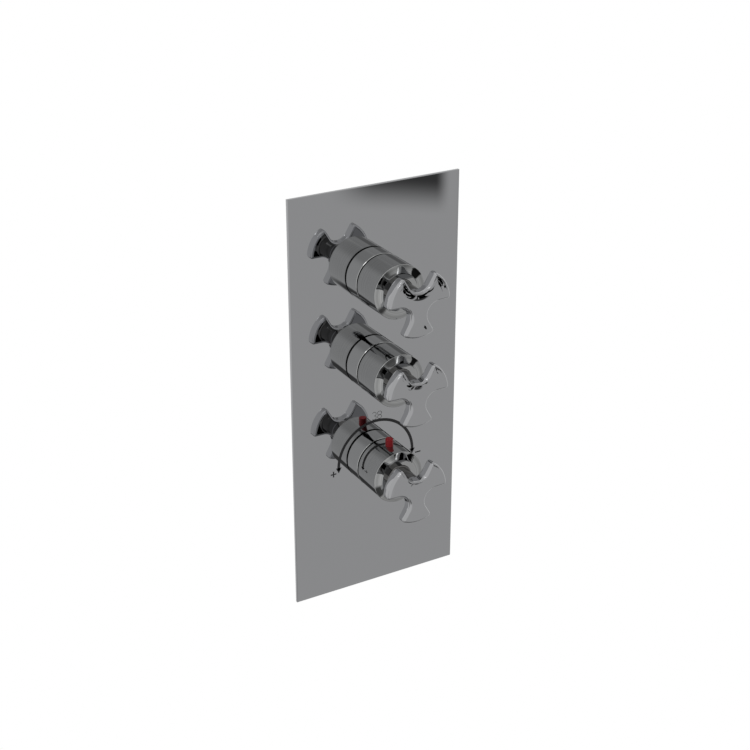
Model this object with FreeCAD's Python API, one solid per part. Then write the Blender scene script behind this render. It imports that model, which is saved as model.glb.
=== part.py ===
import FreeCAD, Part
import math
import os

# Concealed thermostatic shower valve with two flow controls and one temperature control.
# Millimetres. X to the right, Y into the wall, Z up.
# The origin is the middle of the faceplate, on the finished wall. The three handles turn
# about lines along Y, one above the other at X = 0.

# ---- clearances, used wherever two pieces meet
seat_clearance = 0.05        # radial room of a fixed piece in its bore
running_clearance = 0.05     # radial room of a turning or sliding fit
seal_clearance = 0.05        # room left round a seal squeezed into its groove
moving_gap = 0.4             # room between a moving piece and what it passes
overrun = 1.0                # how far a cut runs past the face that it opens

# ---- faceplate on the wall
plate_width = 120.0
plate_height = 280.0
plate_thickness = 2.0
plate_edge_bevel = 0.3
gasket_thickness = 1.0
gasket_setback = 3.0         # the gasket's edge behind the plate's edge
gasket_web = 9.0             # width of the gasket's strips
plate_hole_clearance = 0.25
plate_back = -gasket_thickness
plate_front = plate_back - plate_thickness

# ---- handle axes, measured down from the plate's top edge
top_axis_drop = 60.0
middle_axis_drop = 119.7
temperature_axis_drop = 187.6
top_z = plate_height / 2 - top_axis_drop
middle_z = plate_height / 2 - middle_axis_drop
temperature_z = plate_height / 2 - temperature_axis_drop

# ---- screw collar on the plate
barrel_radius = 17.65
collar_height = 6.4
collar_lip = 1.2
collar_lip_bore = 12.6
collar_seal_width = 1.5
collar_seal_height = 1.2
nose_radius = 15.2           # the housing's nose, which the collar screws on
nose_setback = 0.2           # nose end behind the collar's lip
edge_break = 0.3

# ---- turning barrel
groove_width = 1.0
barrel_length = 21.4         # from its back to the rim of its front
barrel_wall = 2.65
barrel_front_wall = 3.5
barrel_back_bevel = 0.5
barrel_rim_round = 0.3
front_bevel_start = 12.3     # the barrel's front is flat to here and a cone outside it
front_bevel_fall = 1.1
front_bevel_round = 4.0
barrel_hub_radius = 9.8
barrel_hub_gap = 1.0         # between the hub and the stop ring or cartridge nose
grub_setback = 8.4           # grub screw behind the barrel's front
grub_radius = 2.0
grub_length = 3.8
grub_access_radius = 2.3

# ---- three-lobed head
neck_length = 15.7
neck_radius = 7.8
neck_flare = 1.2
head_radius = 21.6
head_thickness = 7.4
head_edge_round = 1.8        # on every edge of the cast head
crown_width = 5.2            # the front is flat in its middle and falls away towards its edge
crown_inner_slope = 0.045
crown_outer_slope = 0.145
crown_bands = 3
scallop_floor = 8.0          # from the axis to the bottom of the scallop
scallop_radius = 8.0
scallop_flare_deg = 31.0
head_spigot_radius = 5.0
head_spigot_length = 4.6

# ---- splined drive between spindle and barrel
spline_teeth = 20
spline_tip_radius = 4.0
spline_root_radius = 3.6
spline_overrun = 0.6         # teeth past the back of the adaptor
adaptor_radius = 6.5
adaptor_length = 9.5
adaptor_groove_depth = 0.8

# ---- flow cartridge, a quarter-turn ceramic-disc headwork
bush_radius = 11.45
bush_flange_radius = 12.9
bush_flange_length = 4.2
bush_nose_radius = 8.0
bush_nose_length = 5.0
bush_thread_end = 12.5       # Y where the bush narrows to the disc cage
cage_radius = 11.0
cage_bore = 9.5
cage_start = 14.8
cage_window_length = 4.6
cage_window_deg = 80.0
spindle_radius = 4.95
spindle_flange_radius = 8.2
spindle_flange_length = 2.4
tongue_width = 4.0
tongue_depth = 1.8
moving_disc_thickness = 4.6
fixed_disc_thickness = 4.4
disc_opening_inner = 2.6
disc_opening_outer = 7.4
disc_opening_deg = 78.0
seat_seal_thickness = 2.4
seat_seal_bore = 6.4
circlip_thickness = 1.0
circlip_radius = 6.6
circlip_groove_radius = 4.4
circlip_gap_deg = 60.0
oring_section = 1.6

# ---- brass valve body
housing_front = 6.0
flow_housing_radius = 16.5
flow_housing_end = 36.0
flow_chamber_radius = 13.6
flow_chamber_start = 13.0
flow_chamber_end = 28.0
mixer_housing_radius = 19.0
mixer_chamber_radius = 16.0
body_back = 50.0
gallery_y = 42.0
gallery_radius = 7.6
gallery_bore = 5.0
gallery_head = 10.0          # top of the gallery above the top axis
gallery_end_wall = 4.0
outlet_radius = 13.5
outlet_reach = 32.0          # from the flow axis to the outlet's mouth
outlet_passage = 7.0
pipe_thread_radius = 9.3     # core of a half-inch pipe thread
pipe_thread_depth = 14.0
inlet_spacing = 52.0
inlet_y = 24.0
inlet_radius = 14.5
inlet_head = 10.0            # top of an inlet above the temperature axis
inlet_end_wall = 4.0
chamber_start = 1.5          # radial start of the cross bore inside the mixer's chamber
inlet_mouth_z = -96.0
inlet_socket_radius = 12.1   # core of a three-quarter-inch pipe thread
inlet_socket_depth = 14.0
valve_chamber_radius = 9.5
inlet_passage = 8.0
cross_bore = 4.0
lug_spacing_x = 42.0
lug_spacing_z = 64.0
lug_centre_z = 18.0
lug_radius = 7.0
lug_thickness = 4.0
lug_hole_radius = 2.75

# ---- thermostatic cartridge
sleeve_radius = 13.4
sleeve_front = -3.0
sleeve_end = 38.2
sleeve_bore = 10.0
sleeve_neck_radius = 8.5
sleeve_neck_length = 14.0
sleeve_front_wall = 3.0
hot_ports = (15.0, 20.0)
cold_ports = (28.0, 33.0)
port_count = 4
port_deg = 62.0
sleeve_seal_y = (12.0, 24.0, 36.2)
strainer_wall = 0.4
strainer_radius = 13.0
retaining_nut_slot = 3.0
screw_flange_radius = 8.0
screw_flange_length = 2.3
screw_thread_radius = 5.5
screw_thread_end = 8.6
nut_start = 4.2
nut_web_end = 8.0
nut_end = 14.2
nut_cup_bore = 7.6
nut_lip_bore = 6.2
nut_lip = 0.8
nut_key_width = 2.4
nut_key_height = 1.0
cap_thickness = 1.2
spring_inner = 5.9
wax_pin_radius = 1.5
wax_guide_radius = 3.0
wax_body_radius = 5.0
wax_bulb_radius = 4.0
wax_guide_start = 18.6
wax_body_start = 22.0
wax_body_end = 31.0
wax_bulb_end = 40.0
wax_bulb_round = 1.5
shuttle_length = 9.6
shuttle_wall = 1.6
shuttle_hub_radius = 6.6
shuttle_web = 2.0
shuttle_hole_radius = 0.9
shuttle_hole_count = 8
tail_spigot_length = 3.2
tail_length = 3.0
tail_bore = 6.4

# ---- stop ring and red stop button
stop_ring_radius = 11.6
stop_ring_start = -16.6
stop_ring_length = 5.0
stop_tooth_reach = 1.1
stop_tooth_deg = 9.0
button_setback = 9.9         # button axis from the barrel's rear edge
button_radius = 2.6
button_height = 5.0          # above the barrel's skin
button_top_round = 0.5
button_travel = 2.2
button_foot_radius = 3.2
button_foot_bottom = 12.5    # from the handle axis
button_foot_top = 14.4
button_pin_radius = 1.1
button_pin_length = 2.2
button_pocket_radius = 2.4

# ---- inlet union, strainer and check valve
union_hex_flats = 27.0
union_hex_height = 9.0
union_skirt_radius = 13.0
union_skirt_length = 14.0
union_bore = 7.0
filter_thickness = 1.0
filter_hole = 2.4
filter_edge = 0.4            # web left between the outer holes and the union's bore
filter_rows = 4
check_body_length = 17.0
check_bore = 6.6
check_seat_bore = 4.6
check_seat_height = 2.4
check_rim_height = 1.6
check_spider_height = 1.6
check_spider_bore = 1.6
check_spider_arm = 1.6
poppet_radius = 5.8
poppet_thickness = 1.8
poppet_stem_radius = 1.5
poppet_travel = 2.6
check_spring_inner = 1.8
check_spring_outer = 2.8

# ---- places worked out from the sizes above
collar_front = plate_front - collar_height
nose_front = collar_front + collar_lip + nose_setback
barrel_back = collar_front - groove_width
barrel_rim = barrel_back - barrel_length
barrel_front = barrel_rim - front_bevel_fall
head_back = barrel_front - neck_length
head_front = head_back - head_thickness
collar_bore = nose_radius + seat_clearance
barrel_bore = barrel_radius - barrel_wall
stop_ring_end = stop_ring_start + stop_ring_length
barrel_hub_back = stop_ring_start - barrel_hub_gap
adaptor_back = barrel_hub_back - seat_clearance
adaptor_front = adaptor_back - adaptor_length
adaptor_pocket_front = adaptor_front - seat_clearance
spline_front = adaptor_front + 2 * seat_clearance
spline_back = adaptor_back + spline_overrun
grub_y = barrel_front + grub_setback
button_y = barrel_back - button_setback
button_top = barrel_radius + button_height
button_pin_bottom = button_foot_bottom - button_pin_length
button_pocket_floor = button_pin_bottom - button_travel - moving_gap
flange_seat_y = nose_front + bush_flange_length + 1.0
bush_nose_front = nose_front - bush_nose_length
spindle_flange_y = cage_start + running_clearance
tongue_y = spindle_flange_y + spindle_flange_length
moving_disc_y = tongue_y + running_clearance
fixed_disc_y = moving_disc_y + moving_disc_thickness
seat_seal_y = fixed_disc_y + fixed_disc_thickness
seat_y = seat_seal_y + seat_seal_thickness
outlet_y = (flow_chamber_start + flow_chamber_end) / 2
inlet_top_z = temperature_z + inlet_head
gallery_top_z = top_z + gallery_head
lug_rows = (lug_centre_z + lug_spacing_z / 2, lug_centre_z - lug_spacing_z / 2)
valve_chamber_z = inlet_mouth_z + inlet_socket_depth
valve_chamber_top = valve_chamber_z + check_body_length + poppet_travel + moving_gap
shuttle_start = (hot_ports[1] + cold_ports[0] - shuttle_length) / 2
shuttle_end = shuttle_start + shuttle_length
retaining_nut_back = sleeve_front - seat_clearance

X = FreeCAD.Vector(1, 0, 0)
Y = FreeCAD.Vector(0, 1, 0)
Z = FreeCAD.Vector(0, 0, 1)
scallop_angles = (90.0, 210.0, 330.0)


def point(x, y, z):
    return FreeCAD.Vector(x, y, z)


def rod(axis, radius, start, end, at=(0.0, 0.0)):
    """Round bar along an axis, from start to end. at holds its other two coordinates."""
    if axis is X:
        base = point(start, at[0], at[1])
    elif axis is Y:
        base = point(at[0], start, at[1])
    else:
        base = point(at[0], at[1], start)
    return Part.makeCylinder(radius, end - start, base, axis)


def tube(axis, outer, inner, start, end, at=(0.0, 0.0)):
    return rod(axis, outer, start, end, at).cut(rod(axis, inner, start, end, at))


def block(x0, x1, y0, y1, z0, z1):
    return Part.makeBox(x1 - x0, y1 - y0, z1 - z0, point(x0, y0, z0))


def corner_arc(before, corner, after, radius):
    """Tangent arc that rounds a corner: its first, middle and last point."""
    back = before - corner
    onward = after - corner
    back.normalize()
    onward.normalize()
    half = back.getAngle(onward) / 2
    middle_way = back + onward
    middle_way.normalize()
    centre = corner + middle_way * (radius / math.sin(half))
    reach = radius / math.tan(half)
    return corner + back * reach, centre - middle_way * radius, corner + onward * reach


def bevelled(x, y, size):
    """Corner with a flat bevel, for rounded_wire."""
    return (x, y, -size)


def rounded_wire(corners):
    """Closed wire in the XY plane through corners (x, y), (x, y, radius) or bevelled ones."""
    points = [point(c[0], c[1], 0) for c in corners]
    stops = []
    for i, corner in enumerate(corners):
        before = points[i - 1]
        after = points[(i + 1) % len(points)]
        size = corner[2] if len(corner) == 3 else 0
        if size > 0:
            stops.append(corner_arc(before, points[i], after, size))
        elif size < 0:
            arc = corner_arc(before, points[i], after, -size)
            stops.append((arc[0], arc[2]))
        else:
            stops.append((points[i],))
    edges = []
    for i, stop in enumerate(stops):
        if len(stop) == 3:
            edges.append(Part.Arc(*stop).toShape())
        elif len(stop) == 2:
            edges.append(Part.LineSegment(*stop).toShape())
        following = stops[(i + 1) % len(stops)]
        if stop[-1].distanceToPoint(following[0]) > 1e-6:
            edges.append(Part.LineSegment(stop[-1], following[0]).toShape())
    return Part.Wire(edges)


def turned(corners, z=0.0, x=0.0):
    """Solid of revolution about a line along Y. corners are (radius, y) or (radius, y, round)."""
    solid = Part.Face(rounded_wire(corners)).revolve(point(0, 0, 0), Y, 360)
    solid.translate(point(x, 0, z))
    return solid


def turned_upright(corners, x, y):
    """Solid of revolution about a vertical line. corners are (radius, z) or (radius, z, round)."""
    solid = Part.Face(rounded_wire(corners)).revolve(point(0, 0, 0), Y, 360)
    solid.rotate(point(0, 0, 0), X, 90)
    solid.translate(point(x, y, 0))
    return solid


def prism_y(wire, start, end, z=0.0):
    """Prism along Y from a wire drawn in (x, z)."""
    solid = Part.Face(wire).extrude(point(0, 0, end - start))
    solid.rotate(point(0, 0, 0), X, 90)
    solid.translate(point(0, end, z))
    return solid


def sector(inner, outer, half_angle, centre_angle, start, end, z=0.0):
    """Curved slot along Y between two radii, seen from the front."""
    outer_bar = rod(Y, outer, start, end)
    reach = 2 * outer
    spread = math.radians(half_angle)
    wedge = rounded_wire([(0, 0), (reach * math.cos(spread), -reach * math.sin(spread)),
                          (reach * math.cos(spread), reach * math.sin(spread))])
    slot = outer_bar.common(prism_y(wedge, start, end)).cut(rod(Y, inner, start, end))
    slot.rotate(point(0, 0, 0), Y, -centre_angle)
    slot.translate(point(0, 0, z))
    return slot


def seal_ring(inner, outer, start, end, z=0.0):
    """Rubber ring squeezed between groove floor and bore: flat there, with rounded flanks."""
    flank = min(outer - inner, end - start) / 3
    return turned([(inner, start + flank), (inner + flank, start), (outer - flank, start),
                   (outer, start + flank), (outer, end - flank), (outer - flank, end),
                   (inner + flank, end), (inner, end - flank)], z)


# ---------------------------------------------------------------- faceplate and gasket

def faceplate():
    half_width = plate_width / 2
    half_height = plate_height / 2
    plate = block(-half_width, half_width, plate_front, plate_back, -half_height, half_height)
    front_edges = [e for e in plate.Edges
                   if abs(e.BoundBox.YMin - plate_front) < 1e-6 and e.BoundBox.YLength < 1e-6]
    plate = plate.makeChamfer(plate_edge_bevel, front_edges)
    for z in (top_z, middle_z, temperature_z):
        hole = nose_radius + plate_hole_clearance
        plate = plate.cut(rod(Y, hole, plate_front - 1, plate_back + 1, (0, z)))
    return plate


def plate_gasket():
    """Foam frame along the plate's edges, with a ring round each hole and strips between."""
    half_width = plate_width / 2 - gasket_setback
    half_height = plate_height / 2 - gasket_setback
    outside = block(-half_width, half_width, plate_back, 0, -half_height, half_height)
    inside = block(-half_width + gasket_web, half_width - gasket_web, plate_back, 0,
                   -half_height + gasket_web, half_height - gasket_web)
    frame = outside.cut(inside)
    ring_radius = nose_radius + plate_hole_clearance + gasket_web
    for z in (top_z, middle_z, temperature_z):
        strip = gasket_web / 2
        frame = frame.fuse(block(-half_width, half_width, plate_back, 0, z - strip, z + strip))
        frame = frame.fuse(rod(Y, ring_radius, plate_back, 0, (0, z)))
    for z in (top_z, middle_z, temperature_z):
        frame = frame.cut(rod(Y, ring_radius - gasket_web, plate_back, 0, (0, z)))
    return frame.removeSplitter()


def screw_collar(z):
    """Ring that screws on the housing's nose and clamps the faceplate to the wall."""
    recess = collar_bore + collar_seal_width + seal_clearance
    recess_front = plate_front - collar_seal_height - seal_clearance
    return turned([(recess, plate_front), (barrel_radius, plate_front),
                   bevelled(barrel_radius, collar_front, edge_break), (collar_lip_bore, collar_front),
                   (collar_lip_bore, collar_front + collar_lip),
                   (collar_bore, collar_front + collar_lip),
                   (collar_bore, recess_front), (recess, recess_front)], z)


def collar_seals():
    rings = []
    for z in (top_z, middle_z, temperature_z):
        inner = nose_radius + seal_clearance
        rings.append(seal_ring(inner, inner + collar_seal_width,
                               plate_front - collar_seal_height, plate_front, z))
    return Part.makeCompound(rings)


# ---------------------------------------------------------------- handles

def scallop_outline():
    """Scallop seen from the front: a round floor and two sides that flare outward."""
    flare = math.radians(scallop_flare_deg)
    centre = scallop_floor + scallop_radius
    side_x = centre - scallop_radius * math.sin(flare)
    side_y = scallop_radius * math.cos(flare)
    far_x = side_x + head_radius * math.cos(flare)
    far_y = side_y + head_radius * math.sin(flare)
    floor_arc = Part.Arc(point(side_x, side_y, 0), point(scallop_floor, 0, 0),
                         point(side_x, -side_y, 0)).toShape()
    return Part.Wire([
        floor_arc,
        Part.LineSegment(point(side_x, -side_y, 0), point(far_x, -far_y, 0)).toShape(),
        Part.LineSegment(point(far_x, -far_y, 0), point(far_x, far_y, 0)).toShape(),
        Part.LineSegment(point(far_x, far_y, 0), point(side_x, side_y, 0)).toShape(),
    ])


def lobed_disc(front):
    """Disc with three scallops, from a flat front to the head's back."""
    disc = rod(Y, head_radius, front, head_back)
    for angle in scallop_angles:
        scallop = prism_y(scallop_outline(), front - overrun, head_back + overrun)
        scallop.rotate(point(0, 0, 0), Y, -angle)
        disc = disc.cut(scallop)
    return disc


def crown_fall(inward):
    """How far the front lies behind its flat middle, this far in from the outline."""
    out = crown_width - inward
    bend = (crown_outer_slope - crown_inner_slope) / crown_width
    return crown_inner_slope * out + bend * out ** 2 / 2


def crowned_disc():
    """Lobed disc whose front falls away towards its outline, more and more, in narrow bands."""
    edge_y = head_front + crown_fall(0)
    disc = lobed_disc(edge_y)
    front = min(disc.Faces, key=lambda face: face.CenterOfMass.y)
    below = front.OuterWire
    for band in range(crown_bands):
        inward = crown_width * (band + 1) / crown_bands
        above = front.OuterWire.makeOffset2D(-inward, 2)
        above.translate(point(0, crown_fall(inward) - crown_fall(0), 0))
        disc = disc.fuse(Part.makeLoft([below, above], True, True))
        below = above
    return disc.removeSplitter()


def head(z):
    """Three-lobed head on its neck, with the spigot that enters the barrel."""
    disc = crowned_disc()
    edge_y = head_front + crown_fall(0)
    sharp = []
    for edge in disc.Edges:
        middle = edge.CenterOfMass
        on_outline = min(abs(middle.y - edge_y), abs(middle.y - head_back)) < 1e-3
        at_rim = math.hypot(middle.x, middle.z) > head_radius - 0.01
        along_axis = edge.BoundBox.YLength > head_thickness / 2
        if on_outline or (at_rim and along_axis):
            sharp.append(edge)
    disc = disc.makeFillet(head_edge_round, sharp)
    overlap = head_thickness / 2
    neck = turned([(0, head_back - overlap), (neck_radius, head_back - overlap),
                   (neck_radius, barrel_front, neck_flare - 0.01),
                   (neck_radius + neck_flare, barrel_front),
                   (head_spigot_radius, barrel_front),
                   bevelled(head_spigot_radius, barrel_front + head_spigot_length, edge_break),
                   (0, barrel_front + head_spigot_length)])
    whole = disc.fuse(neck).removeSplitter()
    whole.translate(point(0, 0, z))
    return whole


def barrel(z, with_button):
    """Turning sleeve with its front wall and central hub, open at the back."""
    inner_front = barrel_front + barrel_front_wall
    adaptor_pocket = adaptor_radius + seat_clearance
    spigot_bore = head_spigot_radius + seat_clearance
    sleeve = turned([(spigot_bore, barrel_front),
                     (front_bevel_start, barrel_front, front_bevel_round),
                     (barrel_radius, barrel_rim, barrel_rim_round),
                     bevelled(barrel_radius, barrel_back, barrel_back_bevel),
                     (barrel_bore, barrel_back), (barrel_bore, inner_front), (barrel_hub_radius, inner_front),
                     (barrel_hub_radius, barrel_hub_back), (adaptor_pocket, barrel_hub_back),
                     (adaptor_pocket, adaptor_pocket_front), (spigot_bore, adaptor_pocket_front)])
    grub_bore = rod(Z, grub_radius + seat_clearance, -barrel_hub_radius - 1, 0, (0, grub_y))
    access = rod(Z, grub_access_radius, -barrel_radius - 1, -barrel_hub_radius, (0, grub_y))
    sleeve = sleeve.cut(grub_bore).cut(access)
    if with_button:
        guide = rod(Z, button_radius + running_clearance, barrel_hub_radius, button_top, (0, button_y))
        pocket = rod(Z, button_pocket_radius, button_pocket_floor, barrel_radius - barrel_wall,
                     (0, button_y))
        sleeve = sleeve.cut(guide).cut(pocket)
    sleeve.translate(point(0, 0, z))
    return sleeve


def spline_outline(clearance):
    """Toothed outline of the drive. The hole has the same teeth, larger by a clearance."""
    corners = []
    for tooth in range(spline_teeth):
        pitch = 360.0 / spline_teeth
        for share, radius in ((0.0, spline_root_radius), (0.25, spline_root_radius),
                              (0.4, spline_tip_radius), (0.85, spline_tip_radius)):
            angle = math.radians((tooth + share) * pitch)
            grown = radius + clearance
            corners.append((grown * math.cos(angle), grown * math.sin(angle)))
    return rounded_wire(corners)


def spline_adaptor(z):
    """Brass insert that carries the turn from the spindle's teeth to the barrel."""
    groove = adaptor_radius - adaptor_groove_depth
    half_width = grub_radius
    insert = turned([(0, adaptor_front), (adaptor_radius, adaptor_front),
                     (adaptor_radius, grub_y - half_width), (groove, grub_y - half_width / 2),
                     (groove, grub_y + half_width / 2), (adaptor_radius, grub_y + half_width),
                     (adaptor_radius, adaptor_back), (0, adaptor_back)])
    insert = insert.cut(prism_y(spline_outline(seat_clearance), adaptor_front - 1, adaptor_back + 1))
    insert.translate(point(0, 0, z))
    return insert


def grub_screw(z):
    """Set screw under the barrel, its point in the adaptor's groove, with a hexagon socket."""
    point_z = -(adaptor_radius - adaptor_groove_depth + seat_clearance)
    tail_z = point_z - grub_length
    shank = turned_upright([(0, tail_z), (grub_radius, tail_z),
                            (grub_radius, point_z - grub_radius / 2),
                            (grub_radius / 2, point_z), (0, point_z)], 0, grub_y)
    socket = []
    for side in range(6):
        angle = math.radians(60 * side)
        socket.append(point(grub_radius / 2 * math.cos(angle),
                            grub_y + grub_radius / 2 * math.sin(angle), tail_z))
    socket.append(socket[0])
    recess = Part.Face(Part.makePolygon(socket)).extrude(point(0, 0, grub_length / 2))
    shank = shank.cut(recess)
    shank.translate(point(0, 0, z))
    return shank


# ---------------------------------------------------------------- flow cartridges

def headwork_bush(z):
    """Brass bush screwed in the housing: nose, hexagon, thread, seal groove and disc cage."""
    bore = spindle_radius + running_clearance
    groove_floor = bush_radius - oring_section
    groove_end = bush_thread_end - edge_break
    groove_start = groove_end - oring_section
    cage_end = seat_seal_y + seat_seal_thickness / 2
    bush = turned([(bore, bush_nose_front), bevelled(bush_nose_radius, bush_nose_front, edge_break),
                   (bush_nose_radius, nose_front), (bush_flange_radius, nose_front),
                   (bush_flange_radius, flange_seat_y - seat_clearance),
                   (bush_radius, flange_seat_y - seat_clearance),
                   (bush_radius, groove_start), (groove_floor, groove_start),
                   (groove_floor, groove_end), (bush_radius, groove_end),
                   (bush_radius, bush_thread_end), (cage_radius, bush_thread_end),
                   (cage_radius, cage_end), (cage_bore, cage_end), (cage_bore, cage_start),
                   (bore, cage_start)])
    hexagon = []
    for corner in range(6):
        angle = math.radians(60 * corner + 30)
        hexagon.append((bush_flange_radius * math.cos(angle), bush_flange_radius * math.sin(angle)))
    hexagon_end = flange_seat_y - seat_clearance - 1
    shaved = tube(Y, bush_flange_radius + 1, 0.1, nose_front, hexagon_end)
    shaved = shaved.cut(prism_y(rounded_wire(hexagon), nose_front, hexagon_end))
    bush = bush.cut(shaved)
    for centre in (0.0, 180.0):
        window_end = cage_start + cage_window_length
        bush = bush.cut(sector(cage_bore - 1, cage_radius + 1, cage_window_deg / 2, centre,
                               cage_start, window_end))
        key_slot = block(-1.5, 1.5, fixed_disc_y, cage_end, cage_bore - 0.5, cage_radius + 1)
        key_slot.rotate(point(0, 0, 0), Y, centre)
        bush = bush.cut(key_slot)
    bush.translate(point(0, 0, z))
    return bush


def headwork_seal(z):
    """Ring that seals the bush in the housing's bore."""
    groove_end = bush_thread_end - edge_break
    inner = bush_radius - oring_section + seal_clearance
    return seal_ring(inner, bush_radius, groove_end - oring_section + seal_clearance,
                     groove_end - seal_clearance, z)


def spindle(z):
    """Flow spindle: splined end, circlip groove, drive flange and the tongue for the disc."""
    groove_back = bush_nose_front - running_clearance
    groove_front = groove_back - circlip_thickness - 2 * seal_clearance
    shaft = turned([(0, spline_back), (spline_root_radius, spline_back),
                    (spindle_radius, spline_back + 1), (spindle_radius, groove_front),
                    (circlip_groove_radius, groove_front), (circlip_groove_radius, groove_back),
                    (spindle_radius, groove_back), (spindle_radius, spindle_flange_y),
                    (spindle_flange_radius, spindle_flange_y), (spindle_flange_radius, tongue_y),
                    (0, tongue_y)])
    teeth = prism_y(spline_outline(0), spline_front, spline_back)
    tongue = block(-spindle_flange_radius + 1, spindle_flange_radius - 1, tongue_y,
                   tongue_y + tongue_depth, -tongue_width / 2, tongue_width / 2)
    whole = shaft.fuse(teeth).fuse(tongue)
    whole.translate(point(0, 0, z))
    return whole


def circlip(z):
    """Spring clip in the spindle's groove, in front of the bush's nose."""
    start = bush_nose_front - running_clearance - circlip_thickness - seal_clearance
    clip = tube(Y, circlip_radius, circlip_groove_radius + seal_clearance, start,
                start + circlip_thickness)
    clip = clip.cut(sector(1, circlip_radius + 1, circlip_gap_deg / 2, 90, start,
                           start + circlip_thickness))
    clip.translate(point(0, 0, z))
    return clip


def disc_openings(start, end, centres):
    cut = None
    for centre in centres:
        opening = sector(disc_opening_inner, disc_opening_outer, disc_opening_deg / 2, centre,
                         start, end)
        cut = opening if cut is None else cut.fuse(opening)
    return cut


def moving_disc(z):
    """Ceramic disc that the spindle turns. At rest its openings lie across the fixed disc's."""
    end = fixed_disc_y - running_clearance / 5
    disc = rod(Y, cage_bore - running_clearance, moving_disc_y, end)
    disc = disc.cut(disc_openings(moving_disc_y, end, (90.0, 270.0)))
    slot = tongue_width / 2 + running_clearance
    disc = disc.cut(block(-cage_bore, cage_bore, moving_disc_y, tongue_y + tongue_depth + 0.1,
                          -slot, slot))
    disc.translate(point(0, 0, z))
    return disc


def fixed_disc(z):
    """Ceramic disc keyed in the cage by two lugs."""
    disc = rod(Y, cage_bore - seat_clearance, fixed_disc_y, seat_seal_y)
    for side in (1, -1):
        lug = block(-1.4, 1.4, fixed_disc_y, seat_seal_y, cage_bore - 1, cage_radius - 0.1)
        lug.rotate(point(0, 0, 0), Y, 0 if side > 0 else 180)
        disc = disc.fuse(lug)
    disc = disc.cut(disc_openings(fixed_disc_y, seat_seal_y, (0.0, 180.0)))
    disc.translate(point(0, 0, z))
    return disc


def seat_seal(z):
    """Rubber ring between the fixed disc and the seat in the housing."""
    return tube(Y, cage_bore - seal_clearance, seat_seal_bore, seat_seal_y, seat_y, (0, z))


# ---------------------------------------------------------------- brass body

def flow_housing(z):
    outer = rod(Y, flow_housing_radius, housing_front, flow_housing_end, (0, z))
    return outer.fuse(rod(Y, nose_radius, nose_front, housing_front, (0, z)))


def flow_housing_bore(z):
    bore = bush_radius + seat_clearance
    flange_bore = bush_flange_radius + seat_clearance
    hollow = turned([(0, nose_front - 1), (flange_bore, nose_front - 1),
                     (flange_bore, flange_seat_y), (bore, flange_seat_y),
                     (bore, flow_chamber_start), (flow_chamber_radius, flow_chamber_start),
                     (flow_chamber_radius, flow_chamber_end), (bore, flow_chamber_end),
                     (bore, seat_y), (gallery_bore, seat_y), (gallery_bore, gallery_y),
                     (0, gallery_y)], z)
    return hollow


def mixer_housing():
    outer = rod(Y, mixer_housing_radius, housing_front, body_back, (0, temperature_z))
    return outer.fuse(rod(Y, nose_radius, nose_front, housing_front, (0, temperature_z)))


def mixer_housing_bore():
    bore = sleeve_radius + seat_clearance
    room = 1.0
    hollow = turned([(0, nose_front - 1), (bore, nose_front - 1), (bore, hot_ports[0] - room),
                     (mixer_chamber_radius, hot_ports[0] - room),
                     (mixer_chamber_radius, hot_ports[1] + room), (bore, hot_ports[1] + room),
                     (bore, cold_ports[0] - room), (mixer_chamber_radius, cold_ports[0] - room),
                     (mixer_chamber_radius, cold_ports[1] + room), (bore, cold_ports[1] + room),
                     (bore, sleeve_end + tail_length + seat_clearance),
                     (tail_bore + 3, sleeve_end + tail_length + seat_clearance),
                     (tail_bore + 3, body_back - 3), (0, body_back - 3)], temperature_z)
    return hollow


def inlet_bores(side):
    """Socket, check-valve chamber and passage of one inlet, and its way to the cartridge."""
    x = side * inlet_spacing / 2
    at = (x, inlet_y)
    ports = hot_ports if side < 0 else cold_ports
    port_y = (ports[0] + ports[1]) / 2
    bores = rod(Z, inlet_socket_radius, inlet_mouth_z - overrun, valve_chamber_z, at)
    bores = bores.fuse(rod(Z, valve_chamber_radius, valve_chamber_z - overrun, valve_chamber_top, at))
    bores = bores.fuse(rod(Z, inlet_passage, valve_chamber_top - overrun, inlet_top_z - inlet_end_wall, at))
    near = mixer_chamber_radius - chamber_start
    start, end = (x, -near) if side < 0 else (near, x)
    return bores.fuse(rod(X, cross_bore, start, end, (port_y, temperature_z)))


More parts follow.
